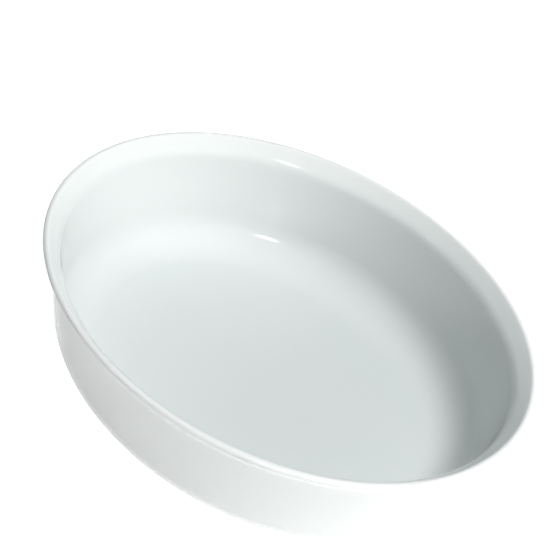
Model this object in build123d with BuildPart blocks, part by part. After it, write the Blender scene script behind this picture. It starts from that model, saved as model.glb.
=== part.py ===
"""Deep oval gratin dish: a porcelain body with a bare foot ring, and the glaze fired onto it.

Millimetres. +Z points up, +X runs along the oval's long axis, and the origin is the centre of the
plane that the foot ring stands on.
"""

import os
from math import cos, radians, sin, tan

from build123d import *

# The oval as measured over the rim, and the height from the table to the rim.
dish_length = 280.0
dish_width = 230.0
dish_height = 80.0

# The wall leans out by its draft, then flares into a rounded lip.
wall_draft = 5.5
wall_thickness = 4.4
base_thickness = 4.6
lip_height = 9.0
lip_lean = 38.0
lip_thickness = 4.6
lip_bend_radius = 14.0

# One wide curve, the heel, turns the wall into the base.
heel_radius = 29.0

# The foot ring is set in under the heel and narrows towards the table.
foot_height = 3.0
foot_inset = 33.0
foot_width = 5.0
foot_taper = 12.0
foot_edge_radius = 0.8

# The glaze covers all but the lowest part of the foot ring.
glaze_thickness = 0.4
glaze_stop = 1.2

# The lip's edge is close to a full round.
lip_round_share = 0.94

draft = radians(wall_draft)
lean = radians(lip_lean)

# How far each corner of the cross section moves as a share of a skin taken off both its faces.
heel_corner_share = (1 - sin(draft)) / cos(draft)
bend_rise_share = (1 / cos(lean) - 1 / cos(draft)) / (tan(lean) - tan(draft))
bend_inset_share = 1 / cos(draft) - bend_rise_share * tan(draft)
crest_share = (1 + sin(lean)) / cos(lean)
mouth_share = (1 - sin(lean)) / cos(lean)

half_length = dish_length / 2
half_width = dish_width / 2
lip_start = dish_height - lip_height
lip_round = lip_thickness / 2 * cos(lean) * lip_round_share
lip_point = lip_round * (crest_share - 1)
lip_overhang = lip_height * tan(lean) - lip_point
floor_height = foot_height + base_thickness
heel_inset = lip_overhang + (lip_start - foot_height) * tan(draft)
cavity_lip_inset = lip_overhang + wall_thickness
cavity_floor_inset = cavity_lip_inset + (lip_start - floor_height) * tan(draft)
cove_radius = heel_radius - wall_thickness
foot_root = (foot_height + floor_height) / 2


def oval(inset: float, height: float) -> Sketch:
    """Returns the rim's oval drawn in by an inset, at a height above the table."""
    with BuildSketch(Plane.XY.offset(height)) as section:
        Ellipse(half_length - inset, half_width - inset)
    return section.sketch


def outer_form(skin: float) -> Part:
    """Returns the dish as a solid block without its foot, drawn in by a skin all over."""
    bend_height = lip_start + skin * bend_rise_share
    base = oval(heel_inset + skin * heel_corner_share, foot_height + skin)
    wall_top = oval(lip_overhang + skin * bend_inset_share, bend_height)
    rim = oval(skin * crest_share - lip_point, dish_height - skin)
    with BuildPart() as form:
        loft([base, wall_top, rim], ruled=True)
        heel_edge = form.edges().group_by(Axis.Z)[0]
        fillet(heel_edge, heel_radius - skin)
        bend_edge = form.edges().filter_by_position(Axis.Z, bend_height, bend_height)
        fillet(bend_edge, lip_bend_radius + skin)
    return form.part


def cavity_form(skin: float) -> Part:
    """Returns the hollow of the dish, grown by a skin all over and closed at the rim."""
    bend_height = lip_start - skin * bend_rise_share
    floor = oval(cavity_floor_inset - skin * heel_corner_share, floor_height - skin)
    wall_top = oval(cavity_lip_inset - skin * bend_inset_share, bend_height)
    mouth = oval(lip_thickness - lip_point - skin * mouth_share, dish_height - skin)
    with BuildPart() as form:
        loft([floor, wall_top, mouth], ruled=True)
        cove_edge = form.edges().group_by(Axis.Z)[0]
        fillet(cove_edge, cove_radius + skin)
        bend_edge = form.edges().filter_by_position(Axis.Z, bend_height, bend_height)
        fillet(bend_edge, lip_bend_radius - skin)
    return form.part


def shell_form(skin: float) -> Part:
    """Returns the hollow dish without its foot, with its lip rounded."""
    with BuildPart() as form:
        add(outer_form(skin))
        add(cavity_form(skin), mode=Mode.SUBTRACT)
        rim_edges = form.faces().sort_by(Axis.Z)[-1].edges()
        fillet(rim_edges, lip_round - skin)
    return form.part


def foot_form(skin: float, bottom: float) -> Part:
    """Returns the foot ring grown sideways by a skin, from its bottom up into the base."""
    lean = tan(radians(foot_taper))
    low = foot_inset - skin + (foot_height - bottom) * lean
    high = foot_inset - skin - (foot_root - foot_height) * lean
    low_inside = foot_inset + foot_width + skin - (foot_height - bottom) * lean
    high_inside = foot_inset + foot_width + skin + (foot_root - foot_height) * lean
    with BuildPart() as form:
        loft([oval(low, bottom), oval(high, foot_root)], ruled=True)
        loft([oval(low_inside, bottom), oval(high_inside, foot_root)], ruled=True, mode=Mode.SUBTRACT)
    return form.part


shell = shell_form(glaze_thickness)
foot = foot_form(0, 0)
with BuildPart() as porcelain_body:
    add(shell)
    add(foot)
    standing_edges = porcelain_body.faces().sort_by(Axis.Z)[0].edges()
    fillet(standing_edges, foot_edge_radius)
porcelain_body.part.label = "porcelain_body"

glazed_shell = shell_form(0)
glazed_foot = foot_form(glaze_thickness, glaze_stop)
with BuildPart() as glaze:
    add(glazed_shell)
    add(glazed_foot)
    add(porcelain_body.part, mode=Mode.SUBTRACT)

# The foot ring parts the glaze in two: the dish inside and out, and the disc within the ring.
dish_coat, base_disc = glaze.solids().sort_by(SortBy.VOLUME)[::-1]
with BuildPart() as dish_glaze:
    add(dish_coat)
dish_glaze.part.label = "dish_glaze"

with BuildPart() as base_glaze:
    add(base_disc)
base_glaze.part.label = "base_glaze"

os.makedirs("parts", exist_ok=True)
export_step(porcelain_body.part, "parts/porcelain_body.step")
export_step(dish_glaze.part, "parts/dish_glaze.step")
export_step(base_glaze.part, "parts/base_glaze.step")
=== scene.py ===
"""Deep oval gratin dish in glazed porcelain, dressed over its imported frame.

The dish stands on a pale studio floor. Its surfaces are modelled as the potter leaves them: the fired
body with its bare foot ring, the glaze over the dish, and the glaze on the base within the foot ring.
"""

import logging
import math
from dataclasses import dataclass, field
from enum import Enum
from typing import NamedTuple

import bmesh
import bpy
from mathutils import Matrix, Vector

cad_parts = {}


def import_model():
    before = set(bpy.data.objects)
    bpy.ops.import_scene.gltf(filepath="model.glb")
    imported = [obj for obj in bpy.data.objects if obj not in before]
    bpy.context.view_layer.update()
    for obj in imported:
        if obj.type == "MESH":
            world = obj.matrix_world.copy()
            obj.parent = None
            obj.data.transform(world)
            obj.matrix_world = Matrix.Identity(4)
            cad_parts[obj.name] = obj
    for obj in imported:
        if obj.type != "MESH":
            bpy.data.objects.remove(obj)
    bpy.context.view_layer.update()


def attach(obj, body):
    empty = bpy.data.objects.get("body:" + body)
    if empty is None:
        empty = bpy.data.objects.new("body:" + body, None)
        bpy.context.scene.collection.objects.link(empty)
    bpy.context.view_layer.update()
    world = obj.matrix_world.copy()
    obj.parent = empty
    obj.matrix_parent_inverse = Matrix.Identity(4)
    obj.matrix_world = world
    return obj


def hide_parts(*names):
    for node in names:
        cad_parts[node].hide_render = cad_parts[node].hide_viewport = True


LOG = logging.getLogger("gratin_dish")
MILLIMETRE = 0.001
SAME_LEVEL = 0.001 * MILLIMETRE
SAME_POINT = 0.0005 * MILLIMETRE


class Slot(Enum):
    """The record's material slots."""

    BODY = "biscuit_porcelain"
    GLAZE = "white_glaze"


class Side(Enum):
    """The two sides of the wall or of the foot ring."""

    OUTER = "outer"
    INNER = "inner"


class Point(NamedTuple):
    """A point of the dish's cross section, in millimetres."""

    inset: float
    height: float


class Ring(NamedTuple):
    """One oval of a surface: its inset from the rim's oval, its height and the share left of its size."""

    inset: float
    height: float
    share: float = 1.0


def srgb(code: str) -> tuple[float, float, float, float]:
    """Turns an sRGB hex colour into linear values.

    Args:
        code: The colour as "#RRGGBB".

    Returns:
        Linear red, green and blue, with an alpha of 1.
    """
    channels = [int(code[i : i + 2], 16) / 255 for i in (1, 3, 5)]
    linear = [c / 12.92 if c <= 0.04045 else ((c + 0.055) / 1.055) ** 2.4 for c in channels]
    return (*linear, 1.0)


def add_node(
    tree: bpy.types.NodeTree, kind: str, links: dict | None = None, **settings: object
) -> bpy.types.Node:
    """Adds a node with its settings and links.

    Args:
        tree: The node tree to add it to.
        kind: The node's type name.
        links: An output socket or a plain value for each input's name or number.
        settings: The node's own properties.

    Returns:
        The new node.
    """
    node = tree.nodes.new(kind)
    for name, value in settings.items():
        setattr(node, name, value)
    for name, source in (links or {}).items():
        if isinstance(source, bpy.types.NodeSocket):
            tree.links.new(source, node.inputs[name])
        else:
            node.inputs[name].default_value = source
    return node


def seen_directly(tree: bpy.types.NodeTree) -> bpy.types.NodeSocket:
    """Tells the rays that show a background, from the camera, a reflection or a clear body.

    Args:
        tree: The node tree to add it to.

    Returns:
        A value of 1 for such a ray, and 0 for others.
    """
    path = add_node(tree, "ShaderNodeLightPath").outputs
    mirrored = add_node(
        tree,
        "ShaderNodeMath",
        {0: path["Is Glossy Ray"], 1: path["Is Transmission Ray"]},
        operation="MAXIMUM",
    ).outputs[0]
    return add_node(
        tree, "ShaderNodeMath", {0: path["Is Camera Ray"], 1: mirrored}, operation="MAXIMUM"
    ).outputs[0]


def direction(azimuth: float, elevation: float) -> Vector:
    """Points from the dish towards an azimuth, counted from the front to the right, and an elevation."""
    a, e = math.radians(azimuth), math.radians(elevation)
    return Vector((math.sin(a) * math.cos(e), -math.cos(a) * math.cos(e), math.sin(e)))


def round_corner(before: Point, corner: Point, after: Point, radius: float, steps: int) -> list[Point]:
    """Rounds a corner of the cross section with an arc that touches both its lines.

    Args:
        before: A point on the line into the corner.
        corner: The sharp corner.
        after: A point on the line out of the corner.
        radius: The arc's radius.
        steps: How many parts the arc is cut into.

    Returns:
        The arc's points, from the first line to the second.
    """
    tip = Vector(corner)
    back, ahead = (Vector(before) - tip).normalized(), (Vector(after) - tip).normalized()
    half = back.angle(ahead) / 2
    centre = tip + (back + ahead).normalized() * radius / math.sin(half)
    spoke = tip + back * radius / math.tan(half) - centre
    sense = 1 if back.cross(ahead) < 0 else -1
    turn = sense * (math.pi - 2 * half)
    return [Point(*(centre + Matrix.Rotation(turn * i / steps, 2) @ spoke)) for i in range(steps + 1)]


def between(start: Point, end: Point, steps: int) -> list[Point]:
    """Divides a straight run, without its two ends."""
    return [Point(*Vector(start).lerp(Vector(end), i / steps)) for i in range(1, steps)]


@dataclass(frozen=True)
class DishForm:
    """The dish's sizes in millimetres and degrees, and the cross section that follows from them.

    The steps say how many parts each arc or straight run of the cross section is cut into.
    """

    length: float = 280.0
    width: float = 230.0
    height: float = 80.0
    wall_draft: float = 5.5
    wall_thickness: float = 4.4
    base_thickness: float = 4.6
    lip_height: float = 9.0
    lip_lean: float = 38.0
    lip_thickness: float = 4.6
    lip_bend_radius: float = 14.0
    lip_round_share: float = 0.94
    heel_radius: float = 29.0
    foot_height: float = 3.0
    foot_inset: float = 33.0
    foot_width: float = 5.0
    foot_taper: float = 12.0
    foot_edge_radius: float = 0.8
    glaze_thickness: float = 0.4
    glaze_stop: float = 1.2
    glaze_pool_radius: float = 1.1
    heel_steps: int = 24
    bend_steps: int = 12
    outer_edge_steps: int = 10
    inner_edge_steps: int = 8
    wall_steps: int = 4
    lip_steps: int = 3

    @property
    def draft(self) -> float:
        """The wall's draft in radians."""
        return math.radians(self.wall_draft)

    @property
    def lean(self) -> float:
        """The lip's lean in radians."""
        return math.radians(self.lip_lean)

    @property
    def heel_corner_share(self) -> float:
        """How far a skin moves the corner of wall and base sideways."""
        return (1 - math.sin(self.draft)) / math.cos(self.draft)

    @property
    def bend_rise_share(self) -> float:
        """How far a skin moves the corner of wall and lip up."""
        spread = 1 / math.cos(self.lean) - 1 / math.cos(self.draft)
        return spread / (math.tan(self.lean) - math.tan(self.draft))

    @property
    def bend_inset_share(self) -> float:
        """How far a skin moves the corner of wall and lip sideways."""
        return 1 / math.cos(self.draft) - self.bend_rise_share * math.tan(self.draft)

    @property
    def crest_share(self) -> float:
        """How far a skin moves the lip's outer corner sideways."""
        return (1 + math.sin(self.lean)) / math.cos(self.lean)

    @property
    def mouth_share(self) -> float:
        """How far a skin moves the lip's inner corner sideways."""
        return (1 - math.sin(self.lean)) / math.cos(self.lean)

    @property
    def lip_start(self) -> float:
        """Height where the wall bends out into the lip."""
        return self.height - self.lip_height

    @property
    def lip_round(self) -> float:
        """Radius of the lip's two edges."""
        return self.lip_thickness / 2 * math.cos(self.lean) * self.lip_round_share

    @property
    def lip_point(self) -> float:
        """How far the lip's sharp corner would stand out past its round edge."""
        return self.lip_round * (self.crest_share - 1)

    @property
    def lip_overhang(self) -> float:
        """How far the lip stands out past the wall."""
        return self.lip_height * math.tan(self.lean) - self.lip_point

    @property
    def floor_height(self) -> float:
        """Height of the floor inside the dish."""
        return self.foot_height + self.base_thickness

    def wall(self, height: float, side: Side) -> float:
        """Inset of the wall's outer or inner face at a height, as its draft gives it."""
        top = self.lip_overhang + (self.wall_thickness if side is Side.INNER else 0)
        return top + (self.lip_start - height) * math.tan(self.draft)

    def crests(self, skin: float) -> tuple[Point, Point]:
        """Finds the sharp corners that the lip's round edges start from.

        Args:
            skin: How far the drawn faces lie under the glaze's.

        Returns:
            The outer corner and the inner corner.
        """
        outer = Point(skin * self.crest_share - self.lip_point, self.height - skin)
        inner_inset = self.lip_thickness - self.lip_point - skin * self.mouth_share
        return outer, Point(inner_inset, self.height - skin)

    def outside(self, skin: float) -> list[Point]:
        """Draws the outside, from where the heel leaves the flat base up to the top of the lip.

        Args:
            skin: How far the drawn face lies under the glaze's.

        Returns:
            The cross section's points.
        """
        heel_inset = self.wall(self.foot_height, Side.OUTER) + skin * self.heel_corner_share
        bend_inset = self.lip_overhang + skin * self.bend_inset_share
        base = Point(self.width / 2, self.foot_height + skin)
        heel = Point(heel_inset, self.foot_height + skin)
        bend = Point(bend_inset, self.lip_start + skin * self.bend_rise_share)
        crest, inner_crest = self.crests(skin)
        heel_arc = round_corner(base, heel, bend, self.heel_radius - skin, self.heel_steps)
        bend_arc = round_corner(heel, bend, crest, self.lip_bend_radius + skin, self.bend_steps)
        edge_arc = round_corner(bend, crest, inner_crest, self.lip_round - skin, self.outer_edge_steps)
        wall_run = between(heel_arc[-1], bend_arc[0], self.wall_steps)
        lip_run = between(bend_arc[-1], edge_arc[0], self.lip_steps)
        return heel_arc + wall_run + bend_arc + lip_run + edge_arc

    def inside(self, skin: float) -> list[Point]:
        """Draws the inside, from the top of the lip down to where the cove meets the flat floor.

        Args:
            skin: How far the drawn face lies under the glaze's.

        Returns:
            The cross section's points.
        """
        bend_inset = self.lip_overhang + self.wall_thickness - skin * self.bend_inset_share
        cove_inset = self.wall(self.floor_height, Side.INNER) - skin * self.heel_corner_share
        outer_crest, crest = self.crests(skin)
        bend = Point(bend_inset, self.lip_start - skin * self.bend_rise_share)
        cove = Point(cove_inset, self.floor_height - skin)
        floor = Point(self.width / 2, self.floor_height - skin)
        cove_radius = self.heel_radius - self.wall_thickness + skin
        edge_arc = round_corner(outer_crest, crest, bend, self.lip_round - skin, self.inner_edge_steps)
        bend_arc = round_corner(crest, bend, cove, self.lip_bend_radius - skin, self.bend_steps)
        cove_arc = round_corner(bend, cove, floor, cove_radius, self.heel_steps)
        lip_run = between(edge_arc[-1], bend_arc[0], self.lip_steps)
        wall_run = between(bend_arc[-1], cove_arc[0], self.wall_steps)
        return edge_arc + lip_run + bend_arc + wall_run + cove_arc

    def foot_side(self, skin: float, height: float, side: Side) -> Point:
        """Finds a point on the side of the foot ring.

        Args:
            skin: How far the drawn side stands out past the bare body.
            height: The point's height.
            side: Which side of the ring.

        Returns:
            The point.
        """
        taper = (self.foot_height - height) * math.tan(math.radians(self.foot_taper))
        if side is Side.INNER:
            return Point(self.foot_inset + self.foot_width + skin - taper, height)
        return Point(self.foot_inset - skin + taper, height)

    def above_foot(self, skin: float, proud: float, room: float) -> tuple[Point, list[Point]]:
        """Finds where the foot ring's outer side meets the heel, and what of the outside is above it.

        Args:
            skin: How far the drawn outside lies under the glaze's.
            proud: How far the drawn side of the foot stands out past the bare body.
            room: How far the first point above stays from the corner.

        Returns:
            The corner, and the outside's points above it.
        """
        side = self.foot_side(proud, self.foot_height, Side.OUTER)
        outside = self.outside(skin)
        above = next(i for i, point in enumerate(outside) if point.inset < side.inset)
        low, high = outside[above - 1], outside[above]
        share = (low.inset - side.inset) / (low.inset - high.inset)
        corner = Point(*Vector(low).lerp(Vector(high), share))
        return corner, [point for point in outside[above:] if corner.inset - point.inset > room]


def flat(edge: Point, shares: tuple[float, ...] = (0.9, 0.7, 0.45, 0.2, 0.05)) -> list[Ring]:
    """Fills a flat oval from its edge to near its middle with smaller and smaller ovals."""
    return [Ring(*edge, share) for share in shares]


def draw_ovals(form: DishForm, rings: list[Ring], segments: int = 256) -> bmesh.types.BMesh:
    """Draws a surface by pulling one oval edge from ring to ring.

    Args:
        form: The dish's sizes, which give the rim's oval.
        rings: The surface's ovals in order.
        segments: How many edges an oval has.

    Returns:
        The open surface, in metres, with its first and last oval as its edges.
    """

    def reach(ring: Ring) -> Vector:
        """Half length, half width and height of one oval, in metres."""
        long_side = (form.length / 2 - ring.inset) * ring.share
        short_side = (form.width / 2 - ring.inset) * ring.share
        return Vector((long_side, short_side, ring.height)) * MILLIMETRE

    mesh = bmesh.new()
    size = reach(rings[0])
    bmesh.ops.create_circle(mesh, cap_ends=False, radius=1.0, segments=segments)
    bmesh.ops.scale(mesh, vec=(size.x, size.y, 1.0), verts=mesh.verts)
    bmesh.ops.translate(mesh, vec=(0, 0, size.z), verts=mesh.verts)
    edges = list(mesh.edges)
    for ring in rings[1:]:
        pulled = bmesh.ops.extrude_edge_only(mesh, edges=edges)["geom"]
        verts = [item for item in pulled if isinstance(item, bmesh.types.BMVert)]
        edges = [item for item in pulled if isinstance(item, bmesh.types.BMEdge) and item.is_boundary]
        step = reach(ring)
        bmesh.ops.scale(mesh, vec=(step.x / size.x, step.y / size.y, 1.0), verts=verts)
        bmesh.ops.translate(mesh, vec=(0, 0, step.z - size.z), verts=verts)
        size = step
    return mesh


def close_middle(mesh: bmesh.types.BMesh, height: float) -> None:
    """Closes the open oval at a height in millimetres with a fan of faces round its middle."""
    level = height * MILLIMETRE
    rims = [edge for edge in mesh.edges if edge.is_boundary]
    loop = [edge for edge in rims if all(abs(v.co.z - level) < SAME_LEVEL for v in edge.verts)]
    cap = bmesh.ops.holes_fill(mesh, edges=loop, sides=0)["faces"]
    bmesh.ops.poke(mesh, faces=cap)


def tidy_faces(mesh: bmesh.types.BMesh) -> None:
    """Merges doubles and turns all faces outwards."""
    bmesh.ops.remove_doubles(mesh, verts=mesh.verts, dist=SAME_POINT)
    bmesh.ops.recalc_face_normals(mesh, faces=mesh.faces)


def make_piece(
    mesh: bmesh.types.BMesh, name: str, material: bpy.types.Material, node: str
) -> bpy.types.Object:
    """Turns a closed mesh into a smooth piece that stands for a solid of the frame.

    Args:
        mesh: The mesh, in metres, where the piece belongs.
        name: The piece's name.
        material: Its finish.
        node: The solid that it stands for.

    Returns:
        The piece.
    """
    data = bpy.data.meshes.new(name)
    mesh.to_mesh(data)
    mesh.free()
    data.shade_smooth()
    data.materials.append(material)
    piece = bpy.data.objects.new(name, data)
    bpy.context.scene.collection.objects.link(piece)
    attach(piece, "root")
    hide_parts(node)
    LOG.info("%s: %d faces", name, len(data.polygons))
    return piece


@dataclass(frozen=True)
class HardPasteGlaze:
    """Clear feldspar glaze fired onto white hard-paste porcelain.

    The eye sees an even, faintly cool white under a hard wet gloss. The glaze levels in slow ripples,
    so reflections waver a little, and up close it has a fine orange peel and a rare pinhole. Pinholes
    are really about 0.2 mm wide, and are drawn wider so that they show.
    """

    colour: str = "#D3D8D8"
    pooled_colour: str = "#CFD6D6"
    thin_colour: str = "#D6DADA"
    roughness: float = 0.07
    ior: float = 1.52
    ripple_width: float = 24.0
    ripple_depth: float = 0.05
    peel_width: float = 1.8
    peel_depth: float = 0.003
    pinhole_spacing: float = 11.0
    pinhole_width: float = 0.5
    pinhole_depth: float = 0.05
    cloud_width: float = 48.0
    pool_height: float = 22.0
    lip_height: float = 80.0
    lip_depth: float = 2.5

    def material(self) -> bpy.types.Material:
        """Builds the glaze on Object coordinates.

        Returns:
            The material.
        """
        material = bpy.data.materials.new("glazed_hard_paste_porcelain")
        material.use_nodes = True
        tree = material.node_tree
        shader = tree.nodes["Principled BSDF"]
        shader.inputs["Roughness"].default_value = self.roughness
        shader.inputs["IOR"].default_value = self.ior
        place = add_node(tree, "ShaderNodeTexCoord").outputs["Object"]
        tree.links.new(self.tint(tree, place), shader.inputs["Base Color"])
        tree.links.new(self.relief(tree, place), shader.inputs["Normal"])
        return material

    def tint(self, tree: bpy.types.NodeTree, place: bpy.types.NodeSocket) -> bpy.types.NodeSocket:
        """Colours the coat by its depth: cooler where it pools low down, warmer on the thin lip.

        Args:
            tree: The material's nodes.
            place: The surface's Object coordinates.

        Returns:
            The colour.
        """
        height = add_node(tree, "ShaderNodeSeparateXYZ", {0: place}).outputs["Z"]
        cloud = add_node(
            tree,
            "ShaderNodeTexNoise",
            {"Vector": place, "Scale": 1 / (self.cloud_width * MILLIMETRE), "Detail": 2.0},
        ).outputs["Fac"]
        low = add_node(
            tree,
            "ShaderNodeMapRange",
            {0: height, 1: self.pool_height * MILLIMETRE, 2: 0.0},
            interpolation_type="SMOOTHSTEP",
        ).outputs[0]
        depth = add_node(tree, "ShaderNodeMath", {0: low, 1: cloud}, operation="MULTIPLY").outputs[0]
        body = add_node(
            tree,
            "ShaderNodeMix",
            {0: depth, 6: srgb(self.colour), 7: srgb(self.pooled_colour)},
            data_type="RGBA",
        ).outputs[2]
        lip = self.lip_height - self.lip_depth
        thin = add_node(
            tree,
            "ShaderNodeMapRange",
            {0: height, 1: lip * MILLIMETRE, 2: self.lip_height * MILLIMETRE},
            interpolation_type="SMOOTHSTEP",
        ).outputs[0]
        return add_node(
            tree, "ShaderNodeMix", {0: thin, 6: body, 7: srgb(self.thin_colour)}, data_type="RGBA"
        ).outputs[2]

    def relief(self, tree: bpy.types.NodeTree, place: bpy.types.NodeSocket) -> bpy.types.NodeSocket:
        """Gives the coat its ripples, orange peel and pinholes.

        Args:
            tree: The material's nodes.
            place: The surface's Object coordinates.

        Returns:
            The bumped normal.
        """
        ripple = add_node(
            tree,
            "ShaderNodeTexNoise",
            {"Vector": place, "Scale": 1 / (self.ripple_width * MILLIMETRE), "Detail": 1.0},
        ).outputs["Fac"]
        slow = add_node(
            tree,
            "ShaderNodeBump",
            {"Strength": 1.0, "Distance": self.ripple_depth * MILLIMETRE, "Height": ripple},
        ).outputs["Normal"]
        peel = add_node(
            tree,
            "ShaderNodeTexNoise",
            {"Vector": place, "Scale": 1 / (self.peel_width * MILLIMETRE), "Detail": 1.0},
        ).outputs["Fac"]
        fine = add_node(
            tree,
            "ShaderNodeBump",
            {"Strength": 1.0, "Distance": self.peel_depth * MILLIMETRE, "Height": peel, "Normal": slow},
        ).outputs["Normal"]
        spots = add_node(
            tree,
            "ShaderNodeTexVoronoi",
            {"Vector": place, "Scale": 1 / (self.pinhole_spacing * MILLIMETRE)},
        ).outputs["Distance"]
        surface = add_node(
            tree,
            "ShaderNodeMapRange",
            {0: spots, 1: 0.0, 2: self.pinhole_width / 2 / self.pinhole_spacing},
            interpolation_type="SMOOTHSTEP",
        ).outputs[0]
        return add_node(
            tree,
            "ShaderNodeBump",
            {"Strength": 1.0, "Distance": self.pinhole_depth * MILLIMETRE, "Height": surface, "Normal": fine},
        ).outputs["Normal"]


@dataclass(frozen=True)
class BiscuitPorcelain:
    """Bare vitrified porcelain, wiped clean of glaze on the standing edge and rubbed flat after firing.

    The eye sees a dry, slightly warm white with a fine sugary grain and a few grey kiln specks. The
    grain is really finer than 0.2 mm, and is drawn coarser so that it shows.
    """

    colour: str = "#EAE6DC"
    worn_colour: str = "#D5D0C4"
    speck_colour: str = "#9A9486"
    roughness: float = 0.72
    roughness_spread: float = 0.1
    grain_width: float = 0.5
    grain_depth: float = 0.03
    wear_width: float = 14.0
    wear_begins: float = 0.45
    wear_full: float = 0.75
    speck_spacing: float = 3.5
    speck_edge_share: float = 0.09
    speck_heart_share: float = 0.05

    def material(self) -> bpy.types.Material:
        """Builds the bare body on Object coordinates.

        Returns:
            The material.
        """
        material = bpy.data.materials.new("unglazed_vitrified_porcelain")
        material.use_nodes = True
        tree = material.node_tree
        shader = tree.nodes["Principled BSDF"]
        place = add_node(tree, "ShaderNodeTexCoord").outputs["Object"]
        grain = add_node(
            tree,
            "ShaderNodeTexNoise",
            {"Vector": place, "Scale": 1 / (self.grain_width * MILLIMETRE), "Detail": 4.0},
        ).outputs["Fac"]
        wear = add_node(
            tree,
            "ShaderNodeTexNoise",
            {"Vector": place, "Scale": 1 / (self.wear_width * MILLIMETRE), "Detail": 3.0},
        ).outputs["Fac"]
        rubbed = add_node(
            tree,
            "ShaderNodeMapRange",
            {0: wear, 1: self.wear_begins, 2: self.wear_full},
            interpolation_type="SMOOTHSTEP",
        ).outputs[0]
        base = add_node(
            tree,
            "ShaderNodeMix",
            {0: rubbed, 6: srgb(self.colour), 7: srgb(self.worn_colour)},
            data_type="RGBA",
        ).outputs[2]
        spots = add_node(
            tree,
            "ShaderNodeTexVoronoi",
            {"Vector": place, "Scale": 1 / (self.speck_spacing * MILLIMETRE)},
        ).outputs["Distance"]
        speck = add_node(
            tree, "ShaderNodeMapRange", {0: spots, 1: self.speck_edge_share, 2: self.speck_heart_share}
        ).outputs[0]
        colour = add_node(
            tree, "ShaderNodeMix", {0: speck, 6: base, 7: srgb(self.speck_colour)}, data_type="RGBA"
        ).outputs[2]
        smoothest, roughest = self.roughness - self.roughness_spread, self.roughness + self.roughness_spread
        rough = add_node(tree, "ShaderNodeMapRange", {0: grain, 3: smoothest, 4: roughest}).outputs[0]
        bump = add_node(
            tree,
            "ShaderNodeBump",
            {"Strength": 1.0, "Distance": self.grain_depth * MILLIMETRE, "Height": grain},
        ).outputs["Normal"]
        tree.links.new(colour, shader.inputs["Base Color"])
        tree.links.new(rough, shader.inputs["Roughness"])
        tree.links.new(bump, shader.inputs["Normal"])
        return material


@dataclass
class FiredBody:
    """The porcelain body, whose bare foot ring shows under the glaze."""

    form: DishForm
    finish: BiscuitPorcelain = field(default_factory=BiscuitPorcelain)
    edge_steps: int = 6
    root_room: float = 0.2

    def rings(self) -> list[Ring]:
        """Lists the body's ovals from the middle of the base, over the lip, to the middle of the floor.

        Returns:
            The ovals in order.
        """
        form, skin, radius = self.form, self.form.glaze_thickness, self.form.foot_edge_radius
        base_edge = form.foot_side(0, form.foot_height + skin, Side.INNER)
        low_inside = form.foot_side(0, 0, Side.INNER)
        low_outside = form.foot_side(0, 0, Side.OUTER)
        root, above = form.above_foot(skin, 0, self.root_room)
        inner_edge = round_corner(base_edge, low_inside, low_outside, radius, self.edge_steps)
        outer_edge = round_corner(low_inside, low_outside, root, radius, self.edge_steps)
        inside = form.inside(skin)
        points = [base_edge, *inner_edge, *outer_edge, root, *above, *inside[1:]]
        return [*flat(base_edge)[::-1], *(Ring(*point) for point in points), *flat(inside[-1])]

    def build(self) -> bpy.types.Object:
        """Models the body as one closed surface and gives it its bare finish.

        Returns:
            The piece.
        """
        mesh = draw_ovals(self.form, self.rings())
        close_middle(mesh, self.form.foot_height + self.form.glaze_thickness)
        close_middle(mesh, self.form.floor_height - self.form.glaze_thickness)
        tidy_faces(mesh)
        return make_piece(mesh, "fired_body", self.finish.material(), "porcelain_body")


@dataclass
class GlazeCoat:
    """The fired glaze, in two coats that the bare standing edge parts."""

    form: DishForm
    finish: HardPasteGlaze = field(default_factory=HardPasteGlaze)
    pool_steps: int = 5

    def dish_rings(self) -> list[Ring]:
        """Lists the dish coat's ovals from the foot ring, over the lip, to the middle of the floor.

        Returns:
            The ovals in order.
        """
        form, coat = self.form, self.form.glaze_thickness
        stop = form.foot_side(coat, form.glaze_stop, Side.OUTER)
        root, above = form.above_foot(0, coat, form.glaze_pool_radius)
        pool = round_corner(stop, root, above[0], form.glaze_pool_radius, self.pool_steps)
        inside = form.inside(0)
        points = [stop, *pool, *above, *inside[1:]]
        return [*(Ring(*point) for point in points), *flat(inside[-1])]

    def base_rings(self) -> list[Ring]:
        """Lists the base coat's ovals from the foot ring's inner side to the middle of the base.

        Returns:
            The ovals in order.
        """
        form, coat = self.form, self.form.glaze_thickness
        stop = form.foot_side(coat, form.glaze_stop, Side.INNER)
        corner = form.foot_side(coat, form.foot_height, Side.INNER)
        middle = Point(form.width / 2, form.foot_height)
        pool = round_corner(stop, corner, middle, form.glaze_pool_radius, self.pool_steps)
        return [*(Ring(*point) for point in [stop, *pool]), *flat(pool[-1])]

    def thicken(self, mesh: bmesh.types.BMesh) -> None:
        """Gives a sheet of glaze its thickness, from its outer face towards the body."""
        coat = self.form.glaze_thickness * MILLIMETRE
        tidy_faces(mesh)
        bmesh.ops.solidify(mesh, geom=mesh.verts[:] + mesh.edges[:] + mesh.faces[:], thickness=coat)

    def build(self) -> list[bpy.types.Object]:
        """Models both coats.

        Returns:
            The two pieces.
        """
        material = self.finish.material()
        dish = draw_ovals(self.form, self.dish_rings())
        close_middle(dish, self.form.floor_height)
        self.thicken(dish)
        base = draw_ovals(self.form, self.base_rings())
        close_middle(base, self.form.foot_height)
        self.thicken(base)
        return [
            make_piece(dish, "dish_glaze_coat", material, "dish_glaze"),
            make_piece(base, "base_glaze_coat", material, "base_glaze"),
        ]


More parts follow.
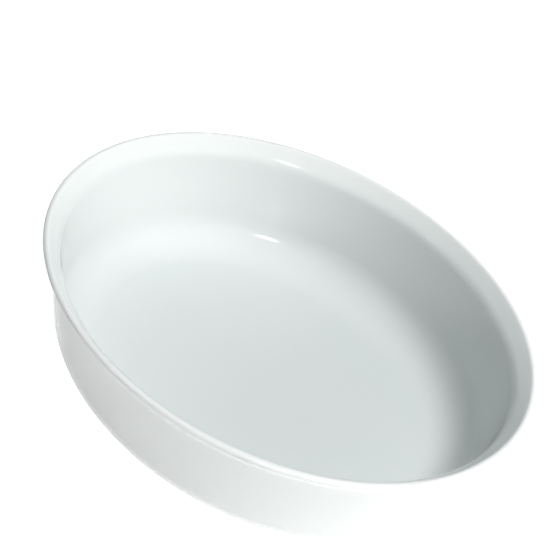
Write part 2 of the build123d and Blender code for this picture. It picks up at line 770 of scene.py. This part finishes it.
@dataclass(frozen=True)
class StudioPaper:
    """Matt white background paper.

    The eye sees plain white with the dish's soft shadow: it is lifted to white only where the camera
    or a reflection looks at it, and the dish gets no more light from it than from real paper.
    """

    colour: str = "#EDEDED"
    lift: float = 0.85
    shadow_reach: float = 450.0
    white_from: float = 900.0

    def material(self) -> bpy.types.Material:
        """Builds the paper.

        Returns:
            The material.
        """
        material = bpy.data.materials.new("matt_background_paper")
        material.use_nodes = True
        tree = material.node_tree
        tree.nodes.clear()
        matt = add_node(tree, "ShaderNodeBsdfDiffuse", {"Color": srgb(self.colour)}).outputs[0]
        seen = seen_directly(tree)
        glow = add_node(tree, "ShaderNodeMath", {0: seen, 1: self.lift}, operation="MULTIPLY").outputs[0]
        lifted = add_node(tree, "ShaderNodeEmission", {"Strength": glow}).outputs[0]
        near = add_node(tree, "ShaderNodeAddShader", {0: matt, 1: lifted}).outputs[0]
        white = add_node(tree, "ShaderNodeEmission").outputs[0]
        place = add_node(tree, "ShaderNodeTexCoord").outputs["Object"]
        distance = add_node(tree, "ShaderNodeVectorMath", {0: place}, operation="LENGTH").outputs["Value"]
        far = add_node(
            tree,
            "ShaderNodeMapRange",
            {0: distance, 1: self.shadow_reach * MILLIMETRE, 2: self.white_from * MILLIMETRE},
            interpolation_type="SMOOTHSTEP",
        ).outputs[0]
        share = add_node(tree, "ShaderNodeMath", {0: far, 1: seen}, operation="MULTIPLY").outputs[0]
        surface = add_node(tree, "ShaderNodeMixShader", {0: share, 1: near, 2: white}).outputs[0]
        add_node(tree, "ShaderNodeOutputMaterial", {"Surface": surface})
        return material


@dataclass(frozen=True)
class Softbox:
    """A square lamp behind white cloth, aimed at the dish, brightest in its middle."""

    name: str
    azimuth: float
    elevation: float
    size: float
    power: float
    colour: str = "#FFFFFF"
    mirrored: bool = True
    distance: float = 1500.0
    aim: tuple[float, float, float] = (0.0, 0.0, 40.0)

    def build(self) -> bpy.types.Object:
        """Hangs the lamp.

        Returns:
            The lamp.
        """
        data = bpy.data.lights.new(self.name, "AREA")
        data.shape = "SQUARE"
        data.size = self.size * MILLIMETRE
        data.energy = self.power
        data.color = srgb(self.colour)[:3]
        self.fade_edges(data)
        lamp = bpy.data.objects.new(self.name, data)
        back = direction(self.azimuth, self.elevation)
        lamp.location = (Vector(self.aim) + back * self.distance) * MILLIMETRE
        lamp.rotation_euler = back.to_track_quat("Z", "Y").to_euler()
        lamp.visible_camera = False
        lamp.visible_glossy = self.mirrored
        bpy.context.scene.collection.objects.link(lamp)
        LOG.info("%s: %.1f W", self.name, self.power)
        return lamp

    def fade_edges(self, data: bpy.types.AreaLight) -> None:
        """Dims the cloth towards its edges, so that its reflection has no hard outline."""
        data.use_nodes = True
        tree = data.node_tree
        place = add_node(tree, "ShaderNodeNewGeometry").outputs["Parametric"]
        centred = add_node(
            tree, "ShaderNodeVectorMath", {0: place, 1: (0.5, 0.5, 0.0)}, operation="DISTANCE"
        ).outputs["Value"]
        glow = add_node(
            tree,
            "ShaderNodeMapRange",
            {0: centred, 1: 0.0, 2: 0.5, 3: 1.0, 4: 0.0},
            interpolation_type="SMOOTHSTEP",
        ).outputs[0]
        tree.links.new(glow, tree.nodes["Emission"].inputs["Strength"])


@dataclass
class Studio:
    """The floor, the lamps and the pale surroundings."""

    paper: StudioPaper = field(default_factory=StudioPaper)
    floor_radius: float = 6000.0
    floor_segments: int = 96
    floor_drop: float = 0.05
    fill_colour: str = "#E8F0F2"
    fill: float = 0.01
    lamps: tuple[Softbox, ...] = (
        Softbox(
            "key_softbox", azimuth=90, elevation=19, size=1000, power=45, colour="#FFFCF9", mirrored=False
        ),
        Softbox(
            "low_softbox", azimuth=45, elevation=18, size=700, power=26, colour="#FFFCF9", mirrored=False
        ),
        Softbox("top_softbox", azimuth=90, elevation=72, size=900, power=87, mirrored=False),
        Softbox(
            "fill_softbox", azimuth=240, elevation=30, size=900, power=10, colour="#EAF6F8", mirrored=False
        ),
        Softbox("front_window", azimuth=24, elevation=25, size=380, power=7),
        Softbox("left_window", azimuth=326, elevation=14, size=260, power=1.2),
        Softbox("back_window", azimuth=242, elevation=10, size=200, power=0.5),
    )

    def build_floor(self) -> bpy.types.Object:
        """Lays the paper on the floor, a hair under the foot ring.

        Returns:
            The floor.
        """
        mesh = bmesh.new()
        radius = self.floor_radius * MILLIMETRE
        bmesh.ops.create_circle(mesh, cap_ends=True, radius=radius, segments=self.floor_segments)
        bmesh.ops.translate(mesh, vec=(0, 0, -self.floor_drop * MILLIMETRE), verts=mesh.verts)
        data = bpy.data.meshes.new("paper_floor")
        mesh.to_mesh(data)
        mesh.free()
        data.materials.append(self.paper.material())
        floor = bpy.data.objects.new("paper_floor", data)
        bpy.context.scene.collection.objects.link(floor)
        return floor

    def build_world(self) -> bpy.types.World:
        """Surrounds the dish with a weak cool fill, which shows as white behind it.

        Returns:
            The world.
        """
        world = bpy.data.worlds.new("white_room")
        world.use_nodes = True
        tree = world.node_tree
        tree.nodes.clear()
        fill = add_node(
            tree, "ShaderNodeBackground", {"Color": srgb(self.fill_colour), "Strength": self.fill}
        ).outputs[0]
        white = add_node(tree, "ShaderNodeBackground", {"Color": srgb("#FFFFFF")}).outputs[0]
        surface = add_node(tree, "ShaderNodeMixShader", {0: seen_directly(tree), 1: fill, 2: white})
        add_node(tree, "ShaderNodeOutputWorld", {"Surface": surface.outputs[0]})
        bpy.context.scene.world = world
        return world

    def build(self) -> None:
        """Sets up the floor, the surroundings and every lamp."""
        self.build_floor()
        self.build_world()
        for lamp in self.lamps:
            lamp.build()


@dataclass(frozen=True)
class DishCamera:
    """A camera that looks down into the dish from the front right, rolled about its own axis.

    Lengths are in millimetres and angles in degrees.
    """

    azimuth: float = 25.815
    elevation: float = 41.879
    roll: float = 16.796
    distance: float = 614.6
    shift_right: float = 2.82
    shift_up: float = 30.86
    aim: tuple[float, float, float] = (0.0, 0.0, 40.0)
    lens: float = 72.04
    sensor_width: float = 36.0
    nearest: float = 10.0
    farthest: float = 50000.0

    def build(self) -> bpy.types.Object:
        """Sets up the camera and makes it the scene's own.

        Returns:
            The camera.
        """
        data = bpy.data.cameras.new("dish_camera")
        data.lens = self.lens
        data.sensor_width = self.sensor_width
        data.clip_start, data.clip_end = self.nearest * MILLIMETRE, self.farthest * MILLIMETRE
        camera = bpy.data.objects.new("dish_camera", data)
        back = direction(self.azimuth, self.elevation)
        level = Matrix.Rotation(math.radians(self.azimuth), 3, "Z") @ Vector((1, 0, 0))
        turn = Matrix.Rotation(math.radians(self.roll), 3, back)
        right, up = turn @ level, turn @ back.cross(level)
        place = Vector(self.aim) + back * self.distance + right * self.shift_right + up * self.shift_up
        axes = Matrix((right, up, back)).transposed()
        camera.matrix_world = Matrix.Translation(place * MILLIMETRE) @ axes.to_4x4()
        bpy.context.scene.collection.objects.link(camera)
        bpy.context.scene.camera = camera
        return camera


def main() -> None:
    """Builds the dish, the studio and the camera."""
    logging.basicConfig(level=logging.INFO, format="%(message)s")
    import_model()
    bpy.context.scene.view_settings.view_transform = "Standard"
    form = DishForm()
    DishCamera().build()
    FiredBody(form).build()
    GlazeCoat(form).build()
    Studio().build()


if __name__ == "__main__":
    main()
